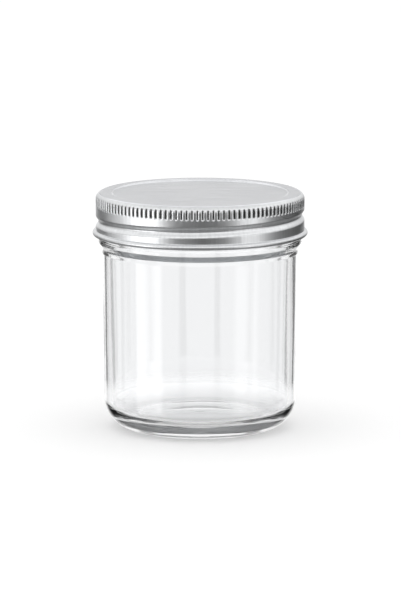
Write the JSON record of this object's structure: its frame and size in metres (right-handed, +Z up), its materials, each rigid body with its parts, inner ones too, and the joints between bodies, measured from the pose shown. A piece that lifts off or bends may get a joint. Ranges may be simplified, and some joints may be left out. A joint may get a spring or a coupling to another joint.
{
  "type": "glass jar with screw lid",
  "caption": "Wide straight-sided clear glass jar with a heavy rounded base, an empty inside and a closed metal screw lid with a fluted grip band.",
  "frame": {"origin": "centre of the resting ring under the base, on the surface that the jar stands on", "axes": "+Z up along the jar's axis, -Y the front as drawn, +X to the right; the screw thread rises anticlockwise seen from above"},
  "size_m": [0.09, 0.09, 0.0996],
  "materials": {
    "clear_glass": "clear polished glass",
    "brushed_lid_metal": "brushed on the top, satin on the skirt"
  },
  "bodies": {
    "root": {"glass_jar": "clear_glass", "screw_lid": "brushed_lid_metal"}
  },
  "joints": []
}
